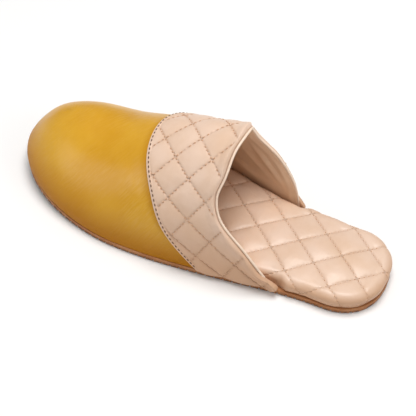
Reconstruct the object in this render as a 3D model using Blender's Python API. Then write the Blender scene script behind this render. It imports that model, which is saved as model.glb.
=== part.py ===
"""A closed-toe house slipper for the left foot, open behind the instep.

Four pieces: a rubber outsole with cross lugs, a padded footbed, a hollow upper
and the padded band laid over the back half of the upper.

Frame: +X points to the toe, +Y to the wearer's left, which is the outer side of
this foot, and +Z up. The origin is on the floor under the middle of the outsole.
All lengths are in metres.
"""
import math
from collections import namedtuple

import bmesh
import bpy
import numpy as np

# Outline of the sole
LENGTH = 0.263
BALL_WIDTH = 0.0995
HEEL_WIDTH = 0.0615
HEEL_ROUND = 0.030
HEEL_FULLNESS = 2.25
TOE_ROUND = 0.095
TOE_FULLNESS = 2.12
WAIST_START = 0.0315
BALL_START = 0.183

# Height of the last above the sole
INSTEP_HEIGHT = 0.079
TOE_HEIGHT = 0.0446
TOE_SETBACK = 0.0335
TOE_TURN = 0.080
HEEL_TURN = 0.034
CREST_LEAN = 0.005
CREST_EXPONENT = 2.1
INSTEP_SIDE_EXPONENT = 1.88
TOE_SIDE_EXPONENT = 1.53
SIDE_CHANGE_START = -0.020
SIDE_CHANGE_LENGTH = 0.110
TOE_SWELL = 0.0018
SWELL_START = 0.010
SWELL_LENGTH = 0.080

# Outsole
SOLE_THICKNESS = 0.0045
TOE_SPRING = 0.0065
SPRING_LENGTH = 0.085
SOLE_CHAMFER = 0.0006
SOLE_LIP = 0.0004
LUG_INSET = 0.0002
LEDGE_PLACE = 0.0023
LEDGE_WIDTH = 0.0006
LEDGE_DEPTH = 0.0005
LUG_PITCH = 0.0058
LUG_GAP = 0.0019
LUG_DEPTH = 0.0019
LUG_TAPER = 0.7
TREAD_MARGIN = 0.007

# Upper and band
SOLE_EDGE = 0.0006
WALL = 0.0020
CLEARANCE = 0.0003
BAND_THICKNESS = 0.0024
BAND_EDGE_THICKNESS = 0.0014
COLLAR_ROLL = 0.0030
COLLAR_STEP = 0.0008
FOLD_WIDTH = 0.0022
THROAT_PLACE = -0.0300
COLLAR_FOOT_PLACE = -0.0705
SEAM_CREST_PLACE = 0.0315
SEAM_FOOT_PLACE = -0.0210

# Footbed
FOOTBED_HEIGHT = 0.0118
FOOTBED_ROUND = 0.0045
FOOTBED_CROWN = 0.0016
FOOTBED_EDGE = 0.0009
FOOTBED_TUCK = 0.0003
FOOTBED_STEP = 0.011
FOOTBED_LEAD = 0.003
FOOTBED_CHAMFER = 0.0006

# How finely the pieces are divided
SOLE_STATIONS = 54
GIRTH_STEPS = 34
BACK_STEPS = 9
FRONT_STEPS = 17

# The middle line of the sole swings outwards at the waist and inwards at the
# toe. place is a share of LENGTH from the heel, swing a share of BALL_WIDTH.
Swing = namedtuple("Swing", "place swing")
SWINGS = (
    Swing(0.00, 0.021),
    Swing(0.15, 0.032),
    Swing(0.32, 0.048),
    Swing(0.50, 0.038),
    Swing(0.66, 0.015),
    Swing(0.80, -0.005),
    Swing(0.92, -0.029),
    Swing(1.00, -0.050),
)

# The crest of the last falls from the instep to the toe. rise is the share of
# the way up from TOE_HEIGHT to INSTEP_HEIGHT.
Crest = namedtuple("Crest", "place rise")
CRESTS = (
    Crest(0.240, 1.30),
    Crest(0.425, 1.00),
    Crest(0.595, 0.52),
    Crest(0.725, 0.13),
    Crest(0.840, 0.00),
    Crest(1.000, -0.45),
)

# The collar's edge from the crest, girth 0, to the sole, girth 1. outer and inner
# are shares of the way from the throat to the collar's foot, on the two sides of
# the foot: it stands higher on the inner side, and drops more steeply there.
Collar = namedtuple("Collar", "girth outer inner")
COLLARS = (
    Collar(0.00, 0.00, 0.00),
    Collar(0.18, -0.03, -0.02),
    Collar(0.36, -0.03, -0.10),
    Collar(0.50, -0.07, -0.02),
    Collar(0.62, 0.05, 0.26),
    Collar(0.80, 0.53, 0.56),
    Collar(1.00, 1.00, 0.70),
)

# The curved seam at the band's front, the same on both sides.
Seam = namedtuple("Seam", "girth back")
SEAMS = (
    Seam(0.00, 0.00),
    Seam(0.25, 0.08),
    Seam(0.50, 0.29),
    Seam(0.75, 0.55),
    Seam(1.00, 1.00),
)

# A reading of one of these two tables, on either side of the crest.
Reading = namedtuple("Reading", "girth back")

# The band's section at its two edges, from its underside round the edge to its
# face. along is a share of COLLAR_ROLL or FOLD_WIDTH, measured in from the edge;
# up is a share of COLLAR_ROLL or BAND_EDGE_THICKNESS.
Edge = namedtuple("Edge", "along up")
ROLL_EDGE = (
    Edge(0.40, 0.00),
    Edge(0.10, 0.20),
    Edge(0.00, 0.50),
    Edge(0.14, 0.82),
    Edge(0.50, 1.00),
    Edge(1.00, 0.90),
    Edge(1.60, 0.74),
)
FOLD_EDGE = (
    Edge(0.15, 0.00),
    Edge(0.00, 0.45),
    Edge(0.18, 0.88),
    Edge(0.70, 1.05),
    Edge(1.50, 1.15),
)

# Colours, as linear red, green and blue
MUSTARD = (0.60, 0.33, 0.03)
BEIGE = (0.74, 0.56, 0.42)
RUBBER = (0.34, 0.13, 0.045)


def smooth_step(value):
    """0 below 0, 1 above 1, and a soft curve between."""
    share = np.clip(value, 0.0, 1.0)
    return share * share * (3.0 - 2.0 * share)


def curve_through(table, key, column, place):
    """A smooth curve through a column of a table, read at places of its key."""
    keys = np.array([getattr(row, key) for row in table])
    values = np.array([getattr(row, column) for row in table])
    slopes = np.gradient(values, keys)
    spot = np.clip(np.asarray(place, dtype=float), keys[0], keys[-1])
    low = np.clip(np.searchsorted(keys, spot) - 1, 0, len(keys) - 2)
    span = keys[low + 1] - keys[low]
    share = (spot - keys[low]) / span
    rest = 1.0 - share
    ends = values[low] * (1.0 + 2.0 * share) * rest**2
    ends = ends + values[low + 1] * (3.0 - 2.0 * share) * share**2
    return ends + span * share * rest * (slopes[low] * rest - slopes[low + 1] * share)


def both_sides(table, outer, inner):
    """One table over the crest: the column for the inner side at negative girths,
    and the one for the outer side at the others."""
    turned = [Reading(-row.girth, getattr(row, inner)) for row in table[:0:-1]]
    return turned + [Reading(row.girth, getattr(row, outer)) for row in table]


def place_of(x):
    """The share of the length at x, from 0 at the heel to 1 at the toe."""
    return np.clip(0.5 + np.asarray(x, dtype=float) / LENGTH, 0.0, 1.0)


def half_widths(x):
    """Distance of the sole's edge from its middle line, and that line's y."""
    place = place_of(x)
    from_heel = place * LENGTH
    growth = smooth_step((from_heel - WAIST_START) / (BALL_START - WAIST_START))
    width = HEEL_WIDTH + (BALL_WIDTH - HEEL_WIDTH) * growth
    heel = np.clip(1.0 - from_heel / HEEL_ROUND, 0.0, 1.0)
    toe = np.clip(1.0 - (LENGTH - from_heel) / TOE_ROUND, 0.0, 1.0)
    heel_end = (1.0 - heel**HEEL_FULLNESS) ** (1.0 / HEEL_FULLNESS)
    toe_end = (1.0 - toe**TOE_FULLNESS) ** (1.0 / TOE_FULLNESS)
    middle = BALL_WIDTH * curve_through(SWINGS, "place", "swing", place)
    return width * heel_end * toe_end / 2.0, middle


def sideways_centre():
    """The y that the frame moves by, so that the sole's box is centred."""
    half, middle = half_widths(np.linspace(-LENGTH / 2.0, LENGTH / 2.0, 801))
    return (np.max(middle + half) + np.min(middle - half)) / 2.0


CENTRE = sideways_centre()
TOE_X = LENGTH / 2.0 - TOE_TURN
HEEL_X = HEEL_TURN - LENGTH / 2.0
TOE_STATION = TOE_X + TOE_TURN * math.pi / 2.0
HEEL_STATION = HEEL_X - HEEL_TURN * math.pi / 2.0

# The swell over the toe's foot is sin(turn) cos(turn)^8, over its highest value
SWELL_POWER = 8
SWELL_TURN = math.atan(SWELL_POWER**-0.5)
SWELL_PEAK = math.sin(SWELL_TURN) * math.cos(SWELL_TURN) ** SWELL_POWER


def station_x(station):
    """A station is x, save that it runs on round the toe and the heel."""
    station = np.asarray(station, dtype=float)
    toe = np.clip((station - TOE_X) / TOE_TURN, 0.0, math.pi / 2.0)
    heel = np.clip((HEEL_X - station) / HEEL_TURN, 0.0, math.pi / 2.0)
    straight = np.clip(station, HEEL_X, TOE_X)
    return straight + TOE_TURN * np.sin(toe) - HEEL_TURN * np.sin(heel)


def edge_point(station, side, inset):
    """A point of the sole's outline, moved in by inset. side is 1 or -1."""
    station = np.asarray(station, dtype=float)

    def on_edge(spot):
        x = station_x(spot)
        half, middle = half_widths(x)
        return x, middle - CENTRE + side * half

    nudge = 1e-5
    before = on_edge(np.maximum(station - nudge, HEEL_STATION))
    after = on_edge(np.minimum(station + nudge, TOE_STATION))
    run_x = after[0] - before[0]
    run_y = after[1] - before[1]
    # At the very ends the outline runs straight across.
    at_end = np.minimum(station - HEEL_STATION, TOE_STATION - station) < 2.0 * nudge
    run_y = np.where(at_end, side * np.where(station > 0.0, -1.0, 1.0), run_y)
    run_x = np.where(at_end, 0.0, run_x)
    run = np.hypot(run_x, run_y)
    x, y = on_edge(station)
    return x + side * run_y / run * inset, y - side * run_x / run * inset


def spring(x):
    """Height of the sole's underside over the floor: it rises at the toe."""
    start = LENGTH / 2.0 - SPRING_LENGTH
    return TOE_SPRING * np.clip((x - start) / SPRING_LENGTH, 0.0, 1.0) ** 2


def sole_top(x):
    """Height of the outsole's upper face."""
    return SOLE_THICKNESS + spring(x)


def side_exponent(station):
    """How square the last's side is: fuller at the instep than at the toe."""
    forward = smooth_step((station_x(station) - SIDE_CHANGE_START) / SIDE_CHANGE_LENGTH)
    return INSTEP_SIDE_EXPONENT + (TOE_SIDE_EXPONENT - INSTEP_SIDE_EXPONENT) * forward


def swell(station, turn):
    """How far the last swells out over its foot: low on its side, at the toe.
    turn is 0 at the foot and a quarter turn at the crest."""
    forward = smooth_step((station_x(station) - SWELL_START) / SWELL_LENGTH)
    low_on_side = np.sin(turn) * np.cos(turn) ** SWELL_POWER / SWELL_PEAK
    return TOE_SWELL * forward * low_on_side


def crest_x(station):
    """Where a section's top lies: round the toe it is set back from its foot."""
    toe_share = (np.asarray(station, dtype=float) - TOE_X) / (TOE_STATION - TOE_X)
    return station_x(station) - TOE_SETBACK * smooth_step(toe_share)


def crest_height(x):
    """Height of the crest over the floor."""
    rise = curve_through(CRESTS, "place", "rise", place_of(x))
    return sole_top(x) + CLEARANCE + TOE_HEIGHT + (INSTEP_HEIGHT - TOE_HEIGHT) * rise


def last_point(station, girth):
    """Points of the last's surface. girth runs from 1, at the outer edge of the
    sole, over the crest at 0, to -1 at the inner edge."""
    station, girth = np.broadcast_arrays(
        np.asarray(station, dtype=float), np.asarray(girth, dtype=float)
    )
    turn = (1.0 - np.abs(girth)) * math.pi / 2.0
    inset = SOLE_EDGE - swell(station, turn)
    outer = edge_point(station, 1.0, inset)
    inner = edge_point(station, -1.0, inset)
    foot_x = np.where(girth > 0.0, outer[0], inner[0])
    foot_y = np.where(girth > 0.0, outer[1], inner[1])
    inward = 1.0 - np.cos(turn) ** (2.0 / CREST_EXPONENT)
    upward = np.sin(turn) ** (2.0 / side_exponent(station))
    x = foot_x + (crest_x(station) - foot_x) * inward
    y = foot_y + (-CREST_LEAN - foot_y) * inward
    low = sole_top(foot_x) + CLEARANCE
    return np.stack([x, y, low + (crest_height(x) - low) * upward], axis=-1)


def last_normal(station, girth):
    """The direction straight out of the last's surface."""
    step = 2e-4
    turn = 4e-3
    along = last_point(station + step, girth) - last_point(station - step, girth)
    low = np.clip(np.asarray(girth) - turn, -1.0, 1.0)
    high = np.clip(np.asarray(girth) + turn, -1.0, 1.0)
    around = last_point(station, high) - last_point(station, low)
    normal = np.cross(along, around)
    return normal / np.linalg.norm(normal, axis=-1, keepdims=True)


def collar_station(girth):
    """Where the upper ends at the collar, at each girth."""
    edge = both_sides(COLLARS, "outer", "inner")
    back = curve_through(edge, "girth", "back", girth)
    return THROAT_PLACE + (COLLAR_FOOT_PLACE - THROAT_PLACE) * back


def seam_station(girth):
    """Where the band ends at the curved front seam, at each girth."""
    edge = both_sides(SEAMS, "back", "back")
    back = curve_through(edge, "girth", "back", girth)
    return SEAM_CREST_PLACE + (SEAM_FOOT_PLACE - SEAM_CREST_PLACE) * back


def stations_per_metre(edge_station, girth):
    """Change of station for one metre square to an edge, along the surface."""
    step = 2e-4
    turn = 5e-3
    low = np.clip(girth - turn, -1.0, 1.0)
    high = np.clip(girth + turn, -1.0, 1.0)
    edge = last_point(edge_station(high), high) - last_point(edge_station(low), low)
    edge = edge / np.linalg.norm(edge)
    station = edge_station(girth)
    along = last_point(station + step, girth) - last_point(station - step, girth)
    along = along / (2.0 * step)
    return 1.0 / np.linalg.norm(along - edge * np.dot(along, edge))


def finish(name, mesh_builder, colour, roughness):
    """Turns a bmesh into an object of its own, with its own material."""
    mesh = bpy.data.meshes.new(name)
    mesh_builder.to_mesh(mesh)
    mesh_builder.free()
    mesh.shade_smooth()
    mesh.set_sharp_from_angle(angle=math.radians(40.0))
    piece = bpy.data.objects.new(name, mesh)
    bpy.context.scene.collection.objects.link(piece)
    material = bpy.data.materials.new(name)
    material.use_nodes = True
    shader = material.node_tree.nodes["Principled BSDF"]
    shader.inputs["Base Color"].default_value = (*colour, 1.0)
    shader.inputs["Roughness"].default_value = roughness
    shader.inputs["Metallic"].default_value = 0.0
    mesh.materials.append(material)
    return piece


def add_ring(builder, points):
    """Adds a row of vertices at the given points."""
    return [builder.verts.new(point) for point in points]


def skin(builder, rings, closed):
    """Joins each ring to the next with four-sided faces."""
    for ring, following in zip(rings, rings[1:]):
        count = len(ring)
        last = count if closed else count - 1
        for spot in range(last):
            beside = (spot + 1) % count
            builder.faces.new((ring[spot], ring[beside], following[beside], following[spot]))


def cap_across(builder, ring):
    """Closes a ring of the sole with faces that run straight across it."""
    count = len(ring)
    for spot in range(1, count // 2 - 1):
        far = count - spot
        builder.faces.new((ring[spot], ring[spot + 1], ring[far - 1], ring[far]))
    builder.faces.new((ring[0], ring[1], ring[count - 1]))
    middle = count // 2
    builder.faces.new((ring[middle - 1], ring[middle], ring[middle + 1]))


def around_sole(point_at):
    """A ring from the heel along the outer side to the toe and back along the
    inner side. point_at takes a station and a side and gives x, y and z."""
    stations = np.linspace(HEEL_STATION, TOE_STATION, SOLE_STATIONS + 1)
    outer = [point_at(station, 1.0) for station in stations]
    inner = [point_at(station, -1.0) for station in stations[-2:0:-1]]
    return outer + inner


def sole_solid(rings):
    """A closed solid from rings stacked from the bottom up."""
    builder = bmesh.new()
    rows = [add_ring(builder, ring) for ring in rings]
    skin(builder, rows, closed=True)
    cap_across(builder, rows[0])
    cap_across(builder, rows[-1])
    bmesh.ops.recalc_face_normals(builder, faces=builder.faces)
    return builder


def outsole_ring(inset, up):
    """A ring of the outsole's side, moved in by inset and up by up."""

    def point_at(station, side):
        x, y = edge_point(station, side, inset)
        return float(x), float(y), float(spring(x)) + up

    return around_sole(point_at)


def tread_cutter():
    """Bars that cut the gaps between the cross lugs out of the outsole."""
    builder = bmesh.new()
    length = LENGTH - 2.0 * TREAD_MARGIN
    count = int(length // LUG_PITCH)
    first = -LUG_PITCH * (count - 1) / 2.0
    below = SOLE_THICKNESS
    for number in range(count):
        x = first + LUG_PITCH * number
        low = float(spring(x)) - below
        height = below + LUG_DEPTH
        bar = bmesh.ops.create_cube(builder, size=1.0)["verts"]
        for vertex in bar:
            width = LUG_GAP * (LUG_TAPER if vertex.co.z > 0.0 else 1.0)
            vertex.co.x = x + vertex.co.x * width
            vertex.co.y = vertex.co.y * BALL_WIDTH * 2.0
            vertex.co.z = low + (vertex.co.z + 0.5) * height
    cutter = finish("tread_cutter", builder, RUBBER, 0.6)
    cutter.hide_render = True
    cutter.display_type = "WIRE"
    return cutter


def make_outsole():
    """The rubber outsole: a ledge round its side over a row of cross lugs."""
    rings = [
        outsole_ring(LUG_INSET + SOLE_CHAMFER, 0.0),
        outsole_ring(LUG_INSET, SOLE_CHAMFER),
        outsole_ring(LUG_INSET, LEDGE_PLACE),
        outsole_ring(LUG_INSET + LEDGE_DEPTH, LEDGE_PLACE + LEDGE_WIDTH / 3.0),
        outsole_ring(0.0, LEDGE_PLACE + LEDGE_WIDTH),
        outsole_ring(0.0, SOLE_THICKNESS - SOLE_LIP),
        outsole_ring(SOLE_LIP, SOLE_THICKNESS),
    ]
    outsole = finish("outsole", sole_solid(rings), RUBBER, 0.62)
    tread = outsole.modifiers.new("tread", "BOOLEAN")
    tread.operation = "DIFFERENCE"
    tread.solver = "EXACT"
    tread.object = tread_cutter()
    return outsole


def footbed_ring(inset, up, toward_middle):
    """A ring of the footbed. Behind the upper it stands near the outsole's edge;
    in front of that it follows the inside of the upper's wall."""

    def point_at(station, side):
        narrow_by = float(collar_station(side)) - FOOTBED_LEAD
        inside = float(smooth_step((station - narrow_by + FOOTBED_STEP) / FOOTBED_STEP))
        snug = SOLE_EDGE + WALL + CLEARANCE + FOOTBED_TUCK
        x, y = edge_point(station, side, inset + FOOTBED_EDGE + (snug - FOOTBED_EDGE) * inside)
        foot_x = x
        foot_y = y
        for _ in range(3):
            low = sole_top(foot_x) + CLEARANCE
            share = np.clip(up / (crest_height(x) - low), 0.0, 1.0)
            turn = np.arcsin(share ** (side_exponent(station) / 2.0))
            inward = inside * (1.0 - np.cos(turn) ** (2.0 / CREST_EXPONENT))
            x = foot_x + (crest_x(station) - foot_x) * inward
            y = foot_y + (-CREST_LEAN - foot_y) * inward
        spine_x = np.clip(x, HEEL_X, TOE_X)
        spine_y = half_widths(spine_x)[1] - CENTRE
        x = x + (spine_x - x) * toward_middle
        y = y + (spine_y - y) * toward_middle
        return float(x), float(y), float(sole_top(x)) + CLEARANCE + up

    return around_sole(point_at)


def make_footbed():
    """The padded footbed: a straight side, a round shoulder and a low crown."""
    side = FOOTBED_HEIGHT - FOOTBED_CROWN - FOOTBED_ROUND
    rings = [
        footbed_ring(FOOTBED_CHAMFER, 0.0, 0.0),
        footbed_ring(0.0, FOOTBED_CHAMFER, 0.0),
        footbed_ring(0.0, side, 0.0),
    ]
    for turn in (0.25, 0.5, 0.75, 1.0):
        angle = turn * math.pi / 2.0
        inset = FOOTBED_ROUND * (1.0 - math.cos(angle))
        rings.append(footbed_ring(inset, side + FOOTBED_ROUND * math.sin(angle), 0.0))
    top = side + FOOTBED_ROUND
    for share in (0.3, 0.7):
        crown = FOOTBED_CROWN * (1.0 - (1.0 - share) ** 2)
        rings.append(footbed_ring(FOOTBED_ROUND, top + crown, share))
    return finish("footbed", sole_solid(rings), BEIGE, 0.42)


def make_upper():
    """The hollow upper: one sheet over the last, given its wall inwards. Rows of
    its net lie on the collar's edge and on the seam."""
    builder = bmesh.new()
    girths = np.linspace(1.0, -1.0, GIRTH_STEPS + 1)
    collar = collar_station(girths)
    seam = seam_station(girths)
    rows = []
    for step in range(BACK_STEPS):
        rows.append(collar + (seam - collar) * step / BACK_STEPS)
    for step in range(FRONT_STEPS + 1):
        rows.append(seam + (TOE_STATION - seam) * step / FRONT_STEPS)
    rings = [add_ring(builder, last_point(row, girths)) for row in rows]
    skin(builder, rings, closed=False)
    # Both halves of the last row lie on the line down the toe.
    bmesh.ops.remove_doubles(builder, verts=builder.verts, dist=1e-6)
    upper = finish("upper", builder, MUSTARD, 0.4)
    wall = upper.modifiers.new("wall", "SOLIDIFY")
    wall.thickness = WALL
    wall.offset = -1.0
    wall.use_even_offset = True
    wall.use_rim = True
    return upper


def band_section(girth):
    """The band's closed section at one girth: round the roll at the collar, along
    its face, over the fold at the seam and back along its underside."""
    roll_scale = stations_per_metre(collar_station, girth)
    fold_scale = stations_per_metre(seam_station, girth)
    collar = float(collar_station(girth)) + COLLAR_STEP * roll_scale
    seam = float(seam_station(girth))
    outline = []
    for edge in ROLL_EDGE:
        outline.append((collar + edge.along * COLLAR_ROLL * roll_scale, edge.up * COLLAR_ROLL))
    face_start = outline[-1][0]
    fold = [
        (seam - edge.along * FOLD_WIDTH * fold_scale, edge.up * BAND_EDGE_THICKNESS)
        for edge in FOLD_EDGE
    ]
    face_end = fold[-1][0]
    for step in range(1, BACK_STEPS):
        share = step / BACK_STEPS
        padding = 1.0 - (2.0 * share - 1.0) ** 6
        thin = BAND_EDGE_THICKNESS + (BAND_THICKNESS - BAND_EDGE_THICKNESS) * padding
        outline.append((face_start + (face_end - face_start) * share, thin))
    outline.extend(reversed(fold))
    under_start = outline[-1][0]
    under_end = outline[0][0]
    for step in range(1, BACK_STEPS):
        share = step / BACK_STEPS
        outline.append((under_start + (under_end - under_start) * share, 0.0))
    stations = np.array([station for station, height in outline])
    heights = np.array([height for station, height in outline]) + CLEARANCE
    normal = last_normal(stations, girth)
    return last_point(stations, girth) + normal * heights[:, None]


def make_band():
    """The padded band over the instep, lofted through its sections."""
    builder = bmesh.new()
    girths = np.linspace(1.0, -1.0, GIRTH_STEPS + 1)
    rings = [add_ring(builder, band_section(girth)) for girth in girths]
    skin(builder, rings, closed=True)
    builder.faces.new(rings[0])
    builder.faces.new(rings[-1])
    bmesh.ops.recalc_face_normals(builder, faces=builder.faces)
    return finish("instep_band", builder, BEIGE, 0.4)


for old in list(bpy.data.objects):
    bpy.data.objects.remove(old, do_unlink=True)

make_outsole()
make_footbed()
make_upper()
make_band()
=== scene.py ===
# %% [markdown]
# # A house slipper with a quilted footbed
#
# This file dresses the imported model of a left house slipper: a smooth mustard vamp,
# a quilted beige band over the instep, a quilted footbed and a brown rubber sole.
# It is read from top to bottom, one cell at a time. All lengths are in metres, +X
# points to the toe, +Y to the outer side of the foot, and +Z up.
#
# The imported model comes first, because every new piece takes its place from it.

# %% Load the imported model
import math
from collections import namedtuple

import bmesh
import bpy
import numpy as np
from mathutils import Matrix, Vector


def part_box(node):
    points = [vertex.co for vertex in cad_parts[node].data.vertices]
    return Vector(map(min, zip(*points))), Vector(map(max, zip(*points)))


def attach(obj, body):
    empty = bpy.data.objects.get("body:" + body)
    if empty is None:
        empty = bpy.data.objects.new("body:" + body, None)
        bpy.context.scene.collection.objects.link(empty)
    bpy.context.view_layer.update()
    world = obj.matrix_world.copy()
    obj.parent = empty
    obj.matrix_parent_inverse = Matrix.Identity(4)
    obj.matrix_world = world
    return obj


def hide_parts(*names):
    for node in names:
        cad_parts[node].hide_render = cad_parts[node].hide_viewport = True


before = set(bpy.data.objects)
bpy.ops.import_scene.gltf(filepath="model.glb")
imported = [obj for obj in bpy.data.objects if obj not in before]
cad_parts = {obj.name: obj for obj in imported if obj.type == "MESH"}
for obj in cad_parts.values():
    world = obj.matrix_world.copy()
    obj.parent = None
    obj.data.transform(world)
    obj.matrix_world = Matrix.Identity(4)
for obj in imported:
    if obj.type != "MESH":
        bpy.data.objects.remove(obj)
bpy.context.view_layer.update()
print("nodes:", ", ".join(sorted(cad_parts)))

# %% [markdown]
# ## The camera, the floor and the light
#
# The picture looks down at the slipper from behind its outer side. The camera stands
# where the photograph was taken from and is aimed at the slipper's middle. A floor, a
# wide soft lamp overhead and a pale sky make the even light of a catalogue picture.
# One small hard lamp would be simpler, but it would draw sharp glints on the leather.

# %% Set up the camera
SENSOR = 0.036
LENS = 0.0923
CAMERA_PLACE = Vector((-0.2142, 0.4013, 0.5423))
CAMERA_AIM = Vector((-0.0136, 0.0144, 0.0300))

camera_data = bpy.data.cameras.new("camera")
camera_data.sensor_width = SENSOR * 1000.0
camera_data.lens = LENS * 1000.0
camera = bpy.data.objects.new("camera", camera_data)
bpy.context.scene.collection.objects.link(camera)
camera.location = CAMERA_PLACE
camera.rotation_mode = "QUATERNION"
camera.rotation_quaternion = (CAMERA_AIM - CAMERA_PLACE).to_track_quat("-Z", "Y")
bpy.context.scene.camera = camera
bpy.context.scene.view_settings.view_transform = "Standard"
print("camera to aim, mm:", round((CAMERA_AIM - CAMERA_PLACE).length * 1000.0))

# %% Light the stage
SKY_STRENGTH = 0.35
Lamp = namedtuple("Lamp", "name place aim size power")
LAMPS = (
    Lamp("key_lamp", (-0.06, -0.12, 1.18), (0.00, 0.0, 0.03), 0.70, 10.5),
    Lamp("front_lamp", (0.79, 0.62, 0.47), (0.05, 0.0, 0.04), 0.58, 1.9),
    Lamp("back_lamp", (-0.78, 0.06, 0.60), (-0.04, 0.0, 0.03), 0.45, 1.2),
)

world = bpy.data.worlds.new("pale_sky")
bpy.context.scene.world = world
world.use_nodes = True
world.node_tree.nodes["Background"].inputs["Color"].default_value = (1.0, 1.0, 1.0, 1.0)
world.node_tree.nodes["Background"].inputs["Strength"].default_value = SKY_STRENGTH
for lamp in LAMPS:
    lamp_data = bpy.data.lights.new(lamp.name, "AREA")
    lamp_data.shape = "DISK"
    lamp_data.size = lamp.size
    lamp_data.energy = lamp.power
    lamp_object = bpy.data.objects.new(lamp.name, lamp_data)
    bpy.context.scene.collection.objects.link(lamp_object)
    lamp_object.location = lamp.place
    toward = Vector(lamp.aim) - Vector(lamp.place)
    lamp_object.rotation_mode = "QUATERNION"
    lamp_object.rotation_quaternion = toward.to_track_quat("-Z", "Y")
print("lamps:", len(LAMPS))

# %% [markdown]
# ## The last
#
# A shoe is built over a last, a form with the shape of the foot. Every piece of the
# upper follows it, so its sizes and its surface are worked out once, here. A station
# is a place along the foot that runs on round the toe and the heel; a girth runs from
# 1 at the outer edge of the sole over the crest at 0 to -1 at the inner edge.
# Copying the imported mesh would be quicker, but its flat facets are too coarse for the
# fine relief of quilting, while a formula can be read as finely as a piece needs.

# %% Sizes of the last
sole_low, sole_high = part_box("outsole")
LENGTH = sole_high.x - sole_low.x
BALL_WIDTH = 0.0995
HEEL_WIDTH = 0.0615
HEEL_ROUND = 0.030
HEEL_FULLNESS = 2.25
TOE_ROUND = 0.095
TOE_FULLNESS = 2.12
WAIST_START = 0.0315
BALL_START = 0.183
INSTEP_HEIGHT = 0.079
TOE_HEIGHT = 0.0446
TOE_SETBACK = 0.0335
TOE_TURN = 0.080
HEEL_TURN = 0.034
CREST_LEAN = 0.005
CREST_EXPONENT = 2.1
INSTEP_SIDE_EXPONENT = 1.88
TOE_SIDE_EXPONENT = 1.53
SIDE_CHANGE_START = -0.020
SIDE_CHANGE_LENGTH = 0.110
TOE_SWELL = 0.0018
SWELL_START = 0.010
SWELL_LENGTH = 0.080
SWELL_POWER = 8
SOLE_THICKNESS = 0.0045
TOE_SPRING = 0.0065
SPRING_LENGTH = 0.085
SOLE_EDGE = 0.0006
CLEARANCE = 0.0003
THROAT_PLACE = -0.0300
COLLAR_FOOT_PLACE = -0.0705
SEAM_CREST_PLACE = 0.0315
SEAM_FOOT_PLACE = -0.0210

Swing = namedtuple("Swing", "place swing")
SWINGS = (
    Swing(0.00, 0.021), Swing(0.15, 0.032), Swing(0.32, 0.048), Swing(0.50, 0.038),
    Swing(0.66, 0.015), Swing(0.80, -0.005), Swing(0.92, -0.029), Swing(1.00, -0.050),
)
Crest = namedtuple("Crest", "place rise")
CRESTS = (
    Crest(0.240, 1.30), Crest(0.425, 1.00), Crest(0.595, 0.52),
    Crest(0.725, 0.13), Crest(0.840, 0.00), Crest(1.000, -0.45),
)
Edge = namedtuple("Edge", "girth outer inner")
COLLAR_EDGE = (
    Edge(0.00, 0.00, 0.00), Edge(0.18, -0.03, -0.02), Edge(0.36, -0.03, -0.10),
    Edge(0.50, -0.07, -0.02), Edge(0.62, 0.05, 0.26), Edge(0.80, 0.53, 0.56),
    Edge(1.00, 1.00, 0.70),
)
SEAM_EDGE = (
    Edge(0.00, 0.00, 0.00), Edge(0.25, 0.08, 0.08), Edge(0.50, 0.29, 0.29),
    Edge(0.75, 0.55, 0.55), Edge(1.00, 1.00, 1.00),
)
TOE_X = LENGTH / 2.0 - TOE_TURN
HEEL_X = HEEL_TURN - LENGTH / 2.0
TOE_STATION = TOE_X + TOE_TURN * math.pi / 2.0
HEEL_STATION = HEEL_X - HEEL_TURN * math.pi / 2.0
print("length in mm:", round(LENGTH * 1000.0, 1))


# %% Outline of the sole
def smooth_step(value):
    """0 below 0, 1 above 1, and a soft curve between."""
    share = np.clip(value, 0.0, 1.0)
    return share * share * (3.0 - 2.0 * share)


def curve_through(table, place):
    """A smooth curve through the second column of a table, read along its first."""
    keys = np.array([row[0] for row in table])
    values = np.array([row[1] for row in table])
    slopes = np.gradient(values, keys)
    spot = np.clip(np.asarray(place, dtype=float), keys[0], keys[-1])
    low = np.clip(np.searchsorted(keys, spot) - 1, 0, len(keys) - 2)
    span = keys[low + 1] - keys[low]
    share = (spot - keys[low]) / span
    rest = 1.0 - share
    ends = values[low] * (1.0 + 2.0 * share) * rest**2
    ends = ends + values[low + 1] * (3.0 - 2.0 * share) * share**2
    return ends + span * share * rest * (slopes[low] * rest - slopes[low + 1] * share)


def both_sides(table):
    """One table over the crest: the inner side has negative girths."""
    inner = [(-row.girth, row.inner) for row in table[:0:-1]]
    return inner + [(row.girth, row.outer) for row in table]


def place_of(x):
    """The share of the length at x, from 0 at the heel to 1 at the toe."""
    return np.clip(0.5 + np.asarray(x, dtype=float) / LENGTH, 0.0, 1.0)


def half_widths(x):
    """Distance of the sole's edge from its middle line, and that line's y."""
    from_heel = place_of(x) * LENGTH
    growth = smooth_step((from_heel - WAIST_START) / (BALL_START - WAIST_START))
    width = HEEL_WIDTH + (BALL_WIDTH - HEEL_WIDTH) * growth
    heel = np.clip(1.0 - from_heel / HEEL_ROUND, 0.0, 1.0)
    toe = np.clip(1.0 - (LENGTH - from_heel) / TOE_ROUND, 0.0, 1.0)
    heel_end = (1.0 - heel**HEEL_FULLNESS) ** (1.0 / HEEL_FULLNESS)
    toe_end = (1.0 - toe**TOE_FULLNESS) ** (1.0 / TOE_FULLNESS)
    middle = BALL_WIDTH * curve_through(SWINGS, place_of(x))
    return width * heel_end * toe_end / 2.0, middle


def sideways_centre():
    """The y that the frame moves by, so that the sole's box is centred."""
    half, middle = half_widths(np.linspace(-LENGTH / 2.0, LENGTH / 2.0, 801))
    return (np.max(middle + half) + np.min(middle - half)) / 2.0


CENTRE = sideways_centre()


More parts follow.
